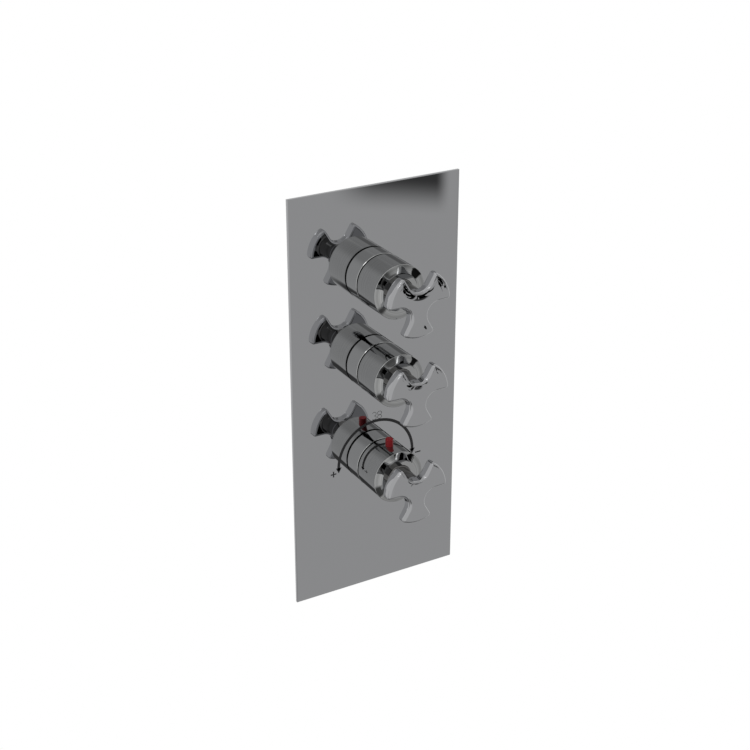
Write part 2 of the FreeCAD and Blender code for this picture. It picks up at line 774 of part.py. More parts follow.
def valve_body():
    """Cast brass body: three housings on a rear gallery, two inlets, two outlets, four lugs."""
    body = flow_housing(top_z).fuse([flow_housing(middle_z), mixer_housing()])
    body = body.fuse(rod(Z, gallery_radius, temperature_z, gallery_top_z, (0, gallery_y)))
    body = body.fuse(rod(Z, outlet_radius, top_z, top_z + outlet_reach, (0, outlet_y)))
    body = body.fuse(rod(X, outlet_radius, 0, outlet_reach, (outlet_y, middle_z)))
    for side in (-1, 1):
        at = (side * inlet_spacing / 2, inlet_y)
        body = body.fuse(rod(Z, inlet_radius, inlet_mouth_z, inlet_top_z, at))
    lug_front = body_back - lug_thickness
    for z in lug_rows:
        half = lug_spacing_x / 2
        body = body.fuse(block(-half, half, lug_front, body_back, z - lug_radius, z + lug_radius))
        for x in (-half, half):
            body = body.fuse(rod(Y, lug_radius, lug_front, body_back, (x, z)))
    body = body.cut(flow_housing_bore(top_z)).cut(flow_housing_bore(middle_z))
    body = body.cut(mixer_housing_bore())
    body = body.cut(rod(Z, gallery_bore, temperature_z, gallery_top_z - gallery_end_wall, (0, gallery_y)))
    passage_start = flow_chamber_radius - outlet_passage / 2
    body = body.cut(rod(Z, outlet_passage, top_z + passage_start, top_z + outlet_reach,
                        (0, outlet_y)))
    body = body.cut(rod(Z, pipe_thread_radius, top_z + outlet_reach - pipe_thread_depth,
                        top_z + outlet_reach, (0, outlet_y)))
    body = body.cut(rod(X, outlet_passage, passage_start, outlet_reach, (outlet_y, middle_z)))
    body = body.cut(rod(X, pipe_thread_radius, outlet_reach - pipe_thread_depth, outlet_reach,
                        (outlet_y, middle_z)))
    for side in (-1, 1):
        body = body.cut(inlet_bores(side))
    for z in lug_rows:
        for x in (-lug_spacing_x / 2, lug_spacing_x / 2):
            body = body.cut(rod(Y, lug_hole_radius, lug_front - 1, body_back + 1, (x, z)))
    return body.removeSplitter()


# ---------------------------------------------------------------- thermostatic cartridge

def cartridge_sleeve():
    """Cartridge shell: neck, front wall, bore for the shuttle, ports, seal grooves and key slots."""
    screw_bore = spindle_radius + running_clearance
    neck_front = sleeve_front - sleeve_neck_length
    corners = [(screw_bore, neck_front), bevelled(sleeve_neck_radius, neck_front, edge_break),
               (sleeve_neck_radius, sleeve_front), (sleeve_radius, sleeve_front)]
    for seal_y in sleeve_seal_y:
        floor = sleeve_radius - oring_section
        half = oring_section / 2
        corners += [(sleeve_radius, seal_y - half), (floor, seal_y - half),
                    (floor, seal_y + half), (sleeve_radius, seal_y + half)]
    corners += [(sleeve_radius, sleeve_end), (sleeve_bore, sleeve_end),
                (sleeve_bore, sleeve_front + sleeve_front_wall),
                (screw_bore, sleeve_front + sleeve_front_wall)]
    sleeve = turned(corners)
    for ports in (hot_ports, cold_ports):
        seat = strainer_radius - strainer_wall - seat_clearance
        sleeve = sleeve.cut(tube(Y, sleeve_radius + 1, seat, ports[0] - 1, ports[1] + 1))
        for port in range(port_count):
            sleeve = sleeve.cut(sector(sleeve_bore - 1, sleeve_radius, port_deg / 2,
                                       360.0 / port_count * port, ports[0], ports[1]))
    for side in (1, -1):
        slot = block(-nut_key_width / 2 - running_clearance, nut_key_width / 2 + running_clearance,
                     sleeve_front + sleeve_front_wall, hot_ports[0],
                     sleeve_bore - 1, sleeve_bore + nut_key_height + running_clearance)
        slot.rotate(point(0, 0, 0), Y, 45 if side > 0 else 225)
        sleeve = sleeve.cut(slot)
    sleeve.translate(point(0, 0, temperature_z))
    return sleeve


def cartridge_seals():
    rings = []
    for seal_y in sleeve_seal_y:
        half = oring_section / 2 - seal_clearance
        rings.append(seal_ring(sleeve_radius - oring_section + seal_clearance, sleeve_radius,
                               seal_y - half, seal_y + half, temperature_z))
    return Part.makeCompound(rings)


def cartridge_strainers():
    """Two slotted bands that keep grit out of the hot and cold ports."""
    bands = []
    for ports in (hot_ports, cold_ports):
        start = ports[0] - 1 + seat_clearance
        end = ports[1] + 1 - seat_clearance
        band = tube(Y, strainer_radius, strainer_radius - strainer_wall, start, end)
        for slot in range(12):
            cut = block(-1.2, 1.2, ports[0], ports[1], 0, strainer_radius + 1)
            cut.rotate(point(0, 0, 0), Y, 30 * slot)
            band = band.cut(cut)
        band.translate(point(0, 0, temperature_z))
        bands.append(band)
    return Part.makeCompound(bands)


def retaining_nut():
    """Ring nut in the housing's nose that holds the thermostatic cartridge."""
    inner = sleeve_neck_radius + seat_clearance
    nut = turned([(inner, nose_front), bevelled(sleeve_radius, nose_front, edge_break),
                  (sleeve_radius, retaining_nut_back), (inner, retaining_nut_back)])
    half = retaining_nut_slot / 2
    for angle in (0, 90):
        slot = block(-half, half, nose_front, nose_front + half, -nose_radius, nose_radius)
        slot.rotate(point(0, 0, 0), Y, angle)
        nut = nut.cut(slot)
    nut.translate(point(0, 0, temperature_z))
    return nut


def cartridge_tail():
    """End ring of the cartridge: spring seat, and the way out for mixed water."""
    spigot = sleeve_bore - seat_clearance
    start = sleeve_end - tail_spigot_length
    return turned([(tail_bore, start), (spigot, start), (spigot, sleeve_end),
                   (sleeve_radius, sleeve_end), bevelled(sleeve_radius, sleeve_end + tail_length, edge_break),
                   (tail_bore, sleeve_end + tail_length)], temperature_z)


def regulating_screw():
    """Temperature spindle: splined end, bearing, thrust flange and screw."""
    flange_y = sleeve_front + sleeve_front_wall + running_clearance
    shaft = turned([(0, spline_back), (spline_root_radius, spline_back),
                    (spindle_radius, spline_back + 1), (spindle_radius, flange_y),
                    (screw_flange_radius, flange_y),
                    (screw_flange_radius, flange_y + screw_flange_length),
                    (screw_thread_radius, flange_y + screw_flange_length),
                    (screw_thread_radius, screw_thread_end), (0, screw_thread_end)])
    whole = shaft.fuse(prism_y(spline_outline(0), spline_front, spline_back))
    whole.translate(point(0, 0, temperature_z))
    return whole


def regulating_nut():
    """Nut that the screw moves along the sleeve, a cup for the overload spring, with two keys."""
    outer = sleeve_bore - running_clearance
    thread = screw_thread_radius + running_clearance
    nut = turned([(thread, nut_start), (outer, nut_start), (outer, nut_end),
                  (nut_lip_bore, nut_end), (nut_lip_bore, nut_end - nut_lip),
                  (nut_cup_bore, nut_end - nut_lip), (nut_cup_bore, nut_web_end),
                  (thread, nut_web_end)])
    for side in (1, -1):
        key = block(-nut_key_width / 2, nut_key_width / 2, nut_start, nut_end - 2,
                    sleeve_bore - 1, sleeve_bore + nut_key_height - running_clearance)
        key.rotate(point(0, 0, 0), Y, 45 if side > 0 else 225)
        nut = nut.fuse(key)
    nut.translate(point(0, 0, temperature_z))
    return nut


def overload_spring():
    start = nut_web_end + seat_clearance
    end = nut_end - nut_lip - cap_thickness - 2 * seat_clearance
    return tube(Y, nut_cup_bore - 4 * seat_clearance, spring_inner, start, end, (0, temperature_z))


def pressure_cap():
    """Cap between the overload spring and the wax element's pin."""
    end = nut_end - nut_lip - seat_clearance
    return turned([(0, end - cap_thickness), (nut_cup_bore - seat_clearance, end - cap_thickness),
                   (nut_cup_bore - seat_clearance, end), (wax_pin_radius + 1, end),
                   (wax_pin_radius + 0.5, end - cap_thickness / 3), (0, end - cap_thickness / 3)],
                  temperature_z)


def wax_element():
    """Wax thermostat: pin, guide, copper case and sensing bulb."""
    pin_tip = nut_end - nut_lip - seat_clearance - cap_thickness / 3 + seat_clearance
    return turned([(0, pin_tip), (wax_pin_radius, pin_tip), (wax_pin_radius, wax_guide_start),
                   (wax_guide_radius, wax_guide_start), (wax_guide_radius, wax_body_start),
                   bevelled(wax_body_radius, wax_body_start, edge_break),
                   bevelled(wax_body_radius, wax_body_end, edge_break),
                   (wax_bulb_radius, wax_body_end), (wax_bulb_radius, wax_bulb_end, wax_bulb_round),
                   (0, wax_bulb_end)], temperature_z)


def shuttle():
    """Sliding ring that closes the hot ports as it opens the cold ones, with hub and web."""
    rim_outer = sleeve_bore - running_clearance
    rim_inner = rim_outer - shuttle_wall
    middle = (shuttle_start + shuttle_end) / 2
    hub_bore = wax_body_radius + seat_clearance
    web = shuttle_web / 2
    ring = turned([(hub_bore, middle - web), (rim_inner, middle - web), (rim_inner, shuttle_start),
                   (rim_outer, shuttle_start), (rim_outer, shuttle_end), (rim_inner, shuttle_end),
                   (rim_inner, middle + web), (shuttle_hub_radius, middle + web),
                   (shuttle_hub_radius, middle + 2 * web), (hub_bore, middle + 2 * web)])
    hole_circle = (shuttle_hub_radius + rim_inner) / 2
    for hole in range(shuttle_hole_count):
        angle = math.radians(360.0 / shuttle_hole_count * hole)
        at = (hole_circle * math.cos(angle), hole_circle * math.sin(angle))
        ring = ring.cut(rod(Y, shuttle_hole_radius, middle - web, middle + web, at))
    ring.translate(point(0, 0, temperature_z))
    return ring


def return_spring():
    """Spring that pushes shuttle and wax element back against the pressure cap."""
    start = (shuttle_start + shuttle_end) / 2 + shuttle_web / 2 + seat_clearance
    end = sleeve_end - tail_spigot_length - seat_clearance
    inner = shuttle_hub_radius + seat_clearance
    outer = sleeve_bore - running_clearance - shuttle_wall - seat_clearance
    return tube(Y, outer, inner, start, end, (0, temperature_z))


# ---------------------------------------------------------------- stop ring and button

def stop_ring():
    """Plastic ring on the cartridge's neck. Its tooth marks the safe temperature."""
    inner = sleeve_neck_radius + seat_clearance
    ring = turned([(inner, stop_ring_start), bevelled(stop_ring_radius, stop_ring_start, edge_break),
                   bevelled(stop_ring_radius, stop_ring_end, edge_break), (inner, stop_ring_end)])
    tooth = sector(inner + 1, stop_ring_radius + stop_tooth_reach - moving_gap, stop_tooth_deg / 2,
                   90 + 2 * stop_tooth_deg, stop_ring_start, stop_ring_end)
    ring = ring.fuse(tooth)
    ring.translate(point(0, 0, temperature_z))
    return ring


def stop_button():
    """Red push button in the temperature barrel, with foot and spring pin."""
    button = turned_upright([(0, button_pin_bottom), (button_pin_radius, button_pin_bottom),
                             (button_pin_radius, button_foot_bottom),
                             (button_foot_radius, button_foot_bottom),
                             (button_foot_radius, button_foot_top),
                             (button_radius, button_foot_top),
                             (button_radius, button_top, button_top_round),
                             (0, button_top)], 0, button_y)
    button.translate(point(0, 0, temperature_z))
    return button


def button_spring():
    outer = button_pocket_radius - running_clearance * 4
    inner = button_pin_radius + running_clearance * 3
    return tube(Z, outer, inner, temperature_z + button_pocket_floor,
                temperature_z + button_foot_bottom, (0, button_y))


# ---------------------------------------------------------------- inlets

def inlet_union(side):
    """Screwed nipple below an inlet: threaded end, hexagon and socket for the supply pipe."""
    x = side * inlet_spacing / 2
    top = valve_chamber_z - filter_thickness - seat_clearance
    hex_top = inlet_mouth_z
    hex_bottom = hex_top - union_hex_height
    skirt_bottom = hex_bottom - union_skirt_length
    body = rod(Z, inlet_socket_radius - seat_clearance, hex_top, top, (x, inlet_y))
    hexagon = []
    for corner in range(6):
        angle = math.radians(60 * corner)
        reach = union_hex_flats / math.sqrt(3)
        hexagon.append(point(x + reach * math.cos(angle), inlet_y + reach * math.sin(angle),
                             hex_bottom))
    hexagon.append(hexagon[0])
    body = body.fuse(Part.Face(Part.makePolygon(hexagon)).extrude(point(0, 0, union_hex_height)))
    body = body.fuse(rod(Z, union_skirt_radius, skirt_bottom, hex_bottom, (x, inlet_y)))
    body = body.cut(rod(Z, union_bore, skirt_bottom, top, (x, inlet_y)))
    return body.cut(rod(Z, pipe_thread_radius, skirt_bottom, skirt_bottom + pipe_thread_depth,
                        (x, inlet_y)))


def inlet_filters():
    """Perforated discs under the check valves, one in each inlet."""
    discs = []
    for side in (-1, 1):
        x = side * inlet_spacing / 2
        top = valve_chamber_z
        disc = rod(Z, inlet_socket_radius - seat_clearance, top - filter_thickness, top,
                   (x, inlet_y))
        half = filter_hole / 2
        middle = (filter_rows - 1) / 2
        corner_rows = (0, filter_rows - 1)
        pitch = (union_bore - half - filter_edge) / math.hypot(middle, middle - 1)
        for row in range(filter_rows):
            for column in range(filter_rows):
                if row in corner_rows and column in corner_rows:
                    continue
                hole_x = x + (row - middle) * pitch
                hole_y = inlet_y + (column - middle) * pitch
                disc = disc.cut(block(hole_x - half, hole_x + half, hole_y - half,
                                      hole_y + half, top - filter_thickness, top))
        discs.append(disc)
    return Part.makeCompound(discs)


def check_valve_body(side):
    """Plastic check-valve cartridge: rim, seat, chamber and the spider that guides the stem."""
    x = side * inlet_spacing / 2
    bottom = valve_chamber_z
    top = bottom + check_body_length
    outer = valve_chamber_radius - seat_clearance
    seat_top = bottom + check_rim_height + check_seat_height
    shell = turned_upright([(check_bore, bottom), (outer, bottom), (outer, top),
                            (check_bore, top), (check_bore, seat_top), (check_seat_bore, seat_top),
                            (check_seat_bore, bottom + check_rim_height),
                            (check_bore, bottom + check_rim_height)], x, inlet_y)
    spider_bottom = top - check_spider_height
    arm = check_spider_arm / 2
    reach = check_bore + 1
    spider = block(x - reach, x + reach, inlet_y - arm, inlet_y + arm, spider_bottom, top)
    spider = spider.fuse(block(x - arm, x + arm, inlet_y - reach, inlet_y + reach,
                               spider_bottom, top))
    spider = spider.fuse(rod(Z, check_spider_bore + 2, spider_bottom, top, (x, inlet_y)))
    shell = shell.fuse(spider)
    return shell.cut(rod(Z, check_spider_bore, spider_bottom, top, (x, inlet_y))).removeSplitter()


def check_poppet(side):
    """Poppet that rests on its seat and lifts with the flow."""
    x = side * inlet_spacing / 2
    seat_top = valve_chamber_z + check_rim_height + check_seat_height
    stem_top = valve_chamber_z + check_body_length - seat_clearance
    return turned_upright([(0, seat_top), (poppet_radius, seat_top),
                           (poppet_radius, seat_top + poppet_thickness),
                           (poppet_stem_radius, seat_top + poppet_thickness),
                           (poppet_stem_radius, stem_top), (0, stem_top)], x, inlet_y)


def check_spring(side):
    x = side * inlet_spacing / 2
    start = valve_chamber_z + check_rim_height + check_seat_height + poppet_thickness
    end = valve_chamber_z + check_body_length - check_spider_height
    return tube(Z, check_spring_outer, check_spring_inner, start, end, (x, inlet_y))


# ---------------------------------------------------------------- the whole valve

def all_pieces():
    pieces = {
        "faceplate": faceplate(),
        "plate_gasket": plate_gasket(),
        "collar_seals": collar_seals(),
        "valve_body": valve_body(),
        "cartridge_sleeve": cartridge_sleeve(),
        "cartridge_seals": cartridge_seals(),
        "cartridge_strainers": cartridge_strainers(),
        "cartridge_tail": cartridge_tail(),
        "retaining_nut": retaining_nut(),
        "regulating_screw": regulating_screw(),
        "regulating_nut": regulating_nut(),
        "overload_spring": overload_spring(),
        "pressure_cap": pressure_cap(),
        "wax_element": wax_element(),
        "shuttle": shuttle(),
        "return_spring": return_spring(),
        "stop_ring": stop_ring(),
        "stop_button": stop_button(),
        "button_spring": button_spring(),
        "inlet_filters": inlet_filters(),
    }
    for name, z in (("top", top_z), ("middle", middle_z), ("temperature", temperature_z)):
        pieces[name + "_collar"] = screw_collar(z)
        pieces[name + "_barrel"] = barrel(z, name == "temperature")
        pieces[name + "_head"] = head(z)
        pieces[name + "_adaptor"] = spline_adaptor(z)
        pieces[name + "_grub_screw"] = grub_screw(z)
    for name, z in (("top", top_z), ("middle", middle_z)):
        pieces[name + "_bush"] = headwork_bush(z)
        pieces[name + "_bush_seal"] = headwork_seal(z)
        pieces[name + "_spindle"] = spindle(z)
        pieces[name + "_circlip"] = circlip(z)
        pieces[name + "_moving_disc"] = moving_disc(z)
        pieces[name + "_fixed_disc"] = fixed_disc(z)
        pieces[name + "_seat_seal"] = seat_seal(z)
    for name, side in (("hot", -1), ("cold", 1)):
        pieces[name + "_inlet_union"] = inlet_union(side)
        pieces[name + "_check_body"] = check_valve_body(side)
        pieces[name + "_check_poppet"] = check_poppet(side)
        pieces[name + "_check_spring"] = check_spring(side)
    return pieces


os.makedirs("parts", exist_ok=True)
for name, shape in all_pieces().items():
    if not shape.isValid():
        print("not valid:", name)
    shape.exportStep(os.path.join("parts", name + ".step"))
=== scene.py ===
import math

import bmesh
import bpy
from mathutils import Matrix, Vector


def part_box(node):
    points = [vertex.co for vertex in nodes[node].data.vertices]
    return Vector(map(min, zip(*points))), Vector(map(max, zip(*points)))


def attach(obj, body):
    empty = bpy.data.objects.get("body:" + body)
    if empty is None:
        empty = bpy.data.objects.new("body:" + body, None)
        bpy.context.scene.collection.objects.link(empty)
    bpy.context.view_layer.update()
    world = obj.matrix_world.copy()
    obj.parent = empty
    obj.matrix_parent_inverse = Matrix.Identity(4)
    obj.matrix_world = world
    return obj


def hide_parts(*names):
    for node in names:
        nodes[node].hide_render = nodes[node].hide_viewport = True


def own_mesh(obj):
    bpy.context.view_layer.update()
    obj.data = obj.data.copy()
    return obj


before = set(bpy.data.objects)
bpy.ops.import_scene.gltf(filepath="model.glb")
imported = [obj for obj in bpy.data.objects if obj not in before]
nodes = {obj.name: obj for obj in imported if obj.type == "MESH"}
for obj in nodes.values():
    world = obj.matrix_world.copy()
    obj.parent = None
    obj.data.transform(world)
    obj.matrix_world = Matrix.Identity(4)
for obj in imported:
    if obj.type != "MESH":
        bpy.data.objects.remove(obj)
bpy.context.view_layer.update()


# ------------------------------------------------------------------ camera and studio
# The camera stands to the left of the valve and looks down on it, as in the photograph.
# Its place is given from the middle of the plate's front.

camera_azimuth = math.radians(-29.89)
camera_elevation = math.radians(25.12)
camera_distance = 0.98543
aim_right = -0.00057
aim_up = 0.01163
lens_mm = 73.61
sensor_mm = 36.0

plate_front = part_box("faceplate")[0].y
back = Vector((math.sin(camera_azimuth) * math.cos(camera_elevation),
               -math.cos(camera_azimuth) * math.cos(camera_elevation),
               math.sin(camera_elevation)))
right = Vector((math.cos(camera_azimuth), math.sin(camera_azimuth), 0))
up = back.cross(right)
camera = bpy.data.objects.new("camera", bpy.data.cameras.new("camera"))
camera.data.lens = lens_mm
camera.data.sensor_width = sensor_mm
camera.location = (Vector((0, plate_front, 0)) + back * camera_distance + right * aim_right
                   + up * aim_up)
camera.rotation_mode = "QUATERNION"
camera.rotation_quaternion = Matrix((right, up, back)).transposed().to_quaternion()
bpy.context.scene.collection.objects.link(camera)
bpy.context.scene.camera = camera
bpy.context.scene.view_settings.view_transform = "Standard"


class Wire:
    """One shader socket. Arithmetic on wires adds Math nodes to their tree."""

    def __init__(self, socket):
        self.socket = socket

    def node(self, kind, settings=None, sockets=None, output=0):
        """Adds a node: its settings first, then a value or a wire for each of its sockets."""
        tree = self.socket.id_data
        made = tree.nodes.new(kind)
        for name, value in (settings or {}).items():
            setattr(made, name, value)
        for name, value in (sockets or {}).items():
            if isinstance(value, Wire):
                tree.links.new(value.socket, made.inputs[name])
            else:
                made.inputs[name].default_value = value
        return Wire(made.outputs[output])

    def maths(self, operation, *values):
        return self.node("ShaderNodeMath", {"operation": operation},
                         dict(enumerate((self,) + values)))

    def __add__(self, other):
        return self.maths("ADD", other)

    __radd__ = __add__

    def __mul__(self, other):
        return self.maths("MULTIPLY", other)

    __rmul__ = __mul__

    def __sub__(self, other):
        return self.maths("SUBTRACT", other)

    def __rsub__(self, other):
        return (self * -1) + other

    def __truediv__(self, other):
        return self.maths("DIVIDE", other)

    def step(self, low, high):
        """Rises smoothly from 0 at low to 1 at high."""
        return self.node("ShaderNodeMapRange", {"interpolation_type": "SMOOTHSTEP"},
                         {"Value": self, "From Min": low, "From Max": high})

    def between(self, low, high, edge):
        """1 between low and high, with soft edges."""
        return self.step(low - edge, low + edge) * (1 - self.step(high - edge, high + edge))

    def axes(self):
        """The three numbers of a vector, each on its own wire."""
        split = self.socket.id_data.nodes.new("ShaderNodeSeparateXYZ")
        self.socket.id_data.links.new(self.socket, split.inputs[0])
        return [Wire(split.outputs[i]) for i in range(3)]

    def into(self, socket):
        """Feeds this wire into a socket of the surface or the output."""
        self.socket.id_data.links.new(self.socket, socket)


# The studio: a white backdrop behind the valve, and in front of it the grey room that the chrome
# mirrors, with a paler left side, two lamps high on the left and dark things that stand in it.
# A direction is given as its run across and its rise for each step ahead of the valve.

room_starts_y = 0.15
room_full_y = -0.05
least_ahead = 0.02
backdrop_grey = 0.62
room_grey = 0.447

world = bpy.data.worlds.new("studio")
bpy.context.scene.world = world
world.use_nodes = True
world.node_tree.nodes.clear()
world_out = world.node_tree.nodes.new("ShaderNodeOutputWorld")
direction = Wire(world.node_tree.nodes.new("ShaderNodeTexCoord").outputs["Generated"])
away_x, away_y, away_z = direction.axes()
ahead = (away_y * -1).maths("MAXIMUM", least_ahead)
across = away_x / ahead
rise = away_z / ahead
in_front = 1 - away_y.step(room_full_y, room_starts_y)


def patch(low_across, high_across, low_rise, high_rise, edge):
    """1 inside a rectangle of directions in front of the valve."""
    return across.between(low_across, high_across, edge) * rise.between(low_rise, high_rise, edge)


def over(light, mask, grey):
    """The light with a patch of another grey laid over it."""
    return light * (1 - mask) + mask * grey


def uneven(stretch, scale, detail):
    """Cloudy noise over the directions, stretched in the run across."""
    spread = direction.node("ShaderNodeCombineXYZ", sockets={"X": across * stretch, "Y": rise})
    return direction.node("ShaderNodeTexNoise", sockets={
        "Vector": spread, "Scale": scale, "Detail": detail}, output="Fac")


# A ragged edge, which sinks as the direction rises, and upright gaps with the light between them.
clutter = uneven(1, 9.0, 1.0)
slits = uneven(5, 5.0, 0.0)
clutter_foot = 0.42
clutter_slope = 2.2
clutter_edge = ((clutter + (rise + clutter_foot) * clutter_slope).step(0.42, 0.46)
                * (1 - slits.step(0.64, 0.67)))

# The beam's ends are a soft left end and a firmer right end, and it slopes with its run.
beam_left = (0.528, 0.575)
beam_right = (0.631, 0.646)
beam_middle = 0.545
beam_slope = 0.22
beam = (across.step(*beam_left) * (1 - across.step(*beam_right))
        * (rise + (across - beam_middle) * beam_slope).between(-0.377, -0.31, 0.016))

# Each thing's patch is its low and high run, its low and high rise and the softness of its edge.
# The number after the patch is the thing's grey.
no_end = 90.0
room_things = {
    "pale_left_side": (patch(-no_end, 0.34, -no_end, no_end, 0.03), 0.60),
    "shade_over_lamp": (patch(-0.45, 0.35, 0.50, 1.20, 0.20), 0.42),
    "shade_on_ground": (patch(-no_end, 0.0, -no_end, -1.20, 0.25), 0.30),
    "grey_screen": (patch(0.50, 1.20, -0.05, 0.35, 0.06), 0.22),
    "low_bench": (patch(-0.26, 0.32, -1.00, -0.66, 0.05), 0.08),
    "lamp_foot": (patch(0.16, 0.44, -0.15, -0.04, 0.03), 0.12),
    "far_doorway": (patch(0.88, 1.90, -0.33, -0.10, 0.02), 0.01),
    "black_case": (patch(0.42, 0.64, -0.27, -0.10, 0.012), 0.0),
    "case_feet": (patch(0.43, 0.63, -0.34, -0.26, 0.010) * (1 - slits.step(0.60, 0.63)), 0.0),
    "beam": (beam, 0.05),
    "black_shelf": (patch(0.66, 0.90, -0.34, -0.22, 0.012), 0.0),
    "things_on_shelf": (patch(0.66, 0.97, -0.52, -0.33, 0.010) * clutter_edge, 0.0),
}
ground_grey = 0.16
ground_from_z = -0.74
ground_full_z = -0.88
near_lamp = patch(-0.36, -0.18, 0.32, 0.46, 0.02)
near_lamp_light = 1.8
far_lamp = patch(-1.10, -0.62, 1.05, 1.45, 0.05)
far_lamp_light = 1.2

room_light = in_front * room_grey + (1 - in_front) * backdrop_grey
for thing, grey in room_things.values():
    room_light = over(room_light, thing * in_front, grey)
room_light = over(room_light, 1 - away_z.step(ground_full_z, ground_from_z), ground_grey)
room_light = room_light + (near_lamp * near_lamp_light + far_lamp * far_lamp_light) * in_front
is_camera = direction.node("ShaderNodeLightPath", output="Is Camera Ray")
strength = is_camera + (1 - is_camera) * room_light
sky = strength.node("ShaderNodeBackground", sockets={"Color": (1, 1, 1, 1), "Strength": strength})
sky.into(world_out.inputs["Surface"])

# The floor lies well under the valve. The camera sees it white, and the chrome doesn't mirror it.
floor_z = -0.9
floor_reach = 6.0
floor_colour = (0.8, 0.8, 0.8, 1)
floor_mesh = bpy.data.meshes.new("floor")
floor_mesh.from_pydata([(-floor_reach, -floor_reach, floor_z), (floor_reach, -floor_reach, floor_z),
                        (floor_reach, floor_reach, floor_z), (-floor_reach, floor_reach, floor_z)],
                       [], [(0, 1, 2, 3)])
floor = bpy.data.objects.new("floor", floor_mesh)
bpy.context.scene.collection.objects.link(floor)
floor.visible_glossy = False
floor_paint = bpy.data.materials.new("floor_paint")
floor_paint.use_nodes = True
floor_tree = floor_paint.node_tree
floor_tree.nodes.clear()
floor_out = floor_tree.nodes.new("ShaderNodeOutputMaterial")
floor_seen = Wire(floor_tree.nodes.new("ShaderNodeLightPath").outputs["Is Camera Ray"])
floor_grey = floor_seen.node("ShaderNodeBsdfDiffuse", sockets={"Color": floor_colour})
floor_white = floor_seen.node("ShaderNodeEmission", sockets={"Strength": 1.0})
floor_seen.node("ShaderNodeMixShader", sockets={0: floor_seen, 1: floor_grey, 2: floor_white}
                ).into(floor_out.inputs["Surface"])
floor_mesh.materials.append(floor_paint)

# Each lamp is a soft box that faces the valve: its place, its width and its power.
lamps = {
    "key_lamp": ((-1.0, -1.0, 1.69), 0.50, 26.0),
    "fill_lamp": ((1.6, -1.1, 1.2), 1.0, 12.0),
    "top_lamp": ((0.1, 0.3, 2.2), 1.2, 14.0),
}
for name, (stand, width, power) in lamps.items():
    lamp = bpy.data.objects.new(name, bpy.data.lights.new(name, "AREA"))
    lamp.data.size = width
    lamp.data.energy = power
    lamp.location = stand
    lamp.rotation_mode = "QUATERNION"
    lamp.rotation_quaternion = Vector(stand).to_track_quat("Z", "Y")
    lamp.visible_glossy = False
    bpy.context.scene.collection.objects.link(lamp)


# ------------------------------------------------------------------ brass body
# The body is one sand casting in brass, left with the grain of its mould. The pieces turned from
# brass bar, such as the bushes, spindles, adaptors, unions and the retaining nut, screw into it
# or stand in it and keep fine rings from the tool.

metal = 1.0
mould_grain = 900.0
tarnish_clouds = 60.0
dull_brass = (0.44, 0.29, 0.11)
cast_colour = (0.56, 0.40, 0.17)
fresh_brass = (0.66, 0.49, 0.24)
tool_rings = 900.0
ring_wander = 0.4
stain_clouds = 120.0
stained_brass = (0.64, 0.47, 0.20)
bar_brass = (0.72, 0.55, 0.26)
bright_brass = (0.78, 0.61, 0.31)


def finish(name, colour, roughness, metallic=0.0):
    """A new material, with its surface node and the wire of its place on the object."""
    made = bpy.data.materials.new(name)
    made.use_nodes = True
    surface = made.node_tree.nodes["Principled BSDF"]
    surface.inputs["Base Color"].default_value = (*colour, 1)
    surface.inputs["Roughness"].default_value = roughness
    surface.inputs["Metallic"].default_value = metallic
    place = Wire(made.node_tree.nodes.new("ShaderNodeTexCoord").outputs["Object"])
    return made, surface, place


def grain(place, per_metre, detail=3.0):
    """Cloudy noise over the object, from 0 to 1."""
    return place.node("ShaderNodeTexNoise", sockets={"Vector": place, "Scale": per_metre,
                                                     "Detail": detail}, output="Fac")


def mixed(mask, low, high):
    """The colour low where the mask is 0 and high where it is 1. Either may be a wire."""
    ends = [end if isinstance(end, Wire) else (*end, 1) for end in (low, high)]
    return mask.node("ShaderNodeMix", {"data_type": "RGBA"},
                     {"Factor": mask, "A": ends[0], "B": ends[1]}, output=2)


def roughened(surface, mask, smoothest, roughest):
    """Roughness that follows a mask from 0 to 1."""
    (mask * (roughest - smoothest) + smoothest).into(surface.inputs["Roughness"])


def bumped(surface, height, strength, distance):
    """Relief of the surface, for a height from 0 to 1."""
    bump = height.node("ShaderNodeBump", sockets={"Height": height, "Strength": strength,
                                                  "Distance": distance})
    bump.into(surface.inputs["Normal"])


def coat_nodes(material, *names):
    """Gives carried-over pieces their material."""
    for name in names:
        mesh = nodes[name].data
        mesh.materials.clear()
        mesh.materials.append(material)


cast_brass, surface, place = finish("cast_brass", cast_colour, 0.45, metal)
mould = grain(place, mould_grain)
tarnish = grain(place, tarnish_clouds)
mixed(tarnish, dull_brass, fresh_brass).into(surface.inputs["Base Color"])
roughened(surface, mould, smoothest=0.38, roughest=0.60)
bumped(surface, mould, strength=0.5, distance=0.0004)
coat_nodes(cast_brass, "valve_body")

machined_brass, surface, place = finish("machined_brass", bar_brass, 0.25, metal)
tool_marks = place.node("ShaderNodeTexWave", {"wave_type": "RINGS", "rings_direction": "Y"},
                        {"Vector": place, "Scale": tool_rings, "Distortion": ring_wander},
                        output="Fac")
stain = grain(place, stain_clouds)
mixed(stain, stained_brass, bright_brass).into(surface.inputs["Base Color"])
roughened(surface, tool_marks, smoothest=0.20, roughest=0.28)
bumped(surface, tool_marks, strength=0.12, distance=0.00005)
coat_nodes(machined_brass, "top_bush", "middle_bush", "top_spindle", "middle_spindle",
           "top_adaptor", "middle_adaptor", "temperature_adaptor", "retaining_nut",
           "regulating_screw", "regulating_nut", "hot_inlet_union", "cold_inlet_union",
           "pressure_cap", "cartridge_tail")


# ------------------------------------------------------------------ clips, screws and strainers
# Small pieces of stainless steel: clips that hold the spindles, grub screws that lock the barrels
# on their adaptors, and the slotted strainer bands over the cartridge's ports.

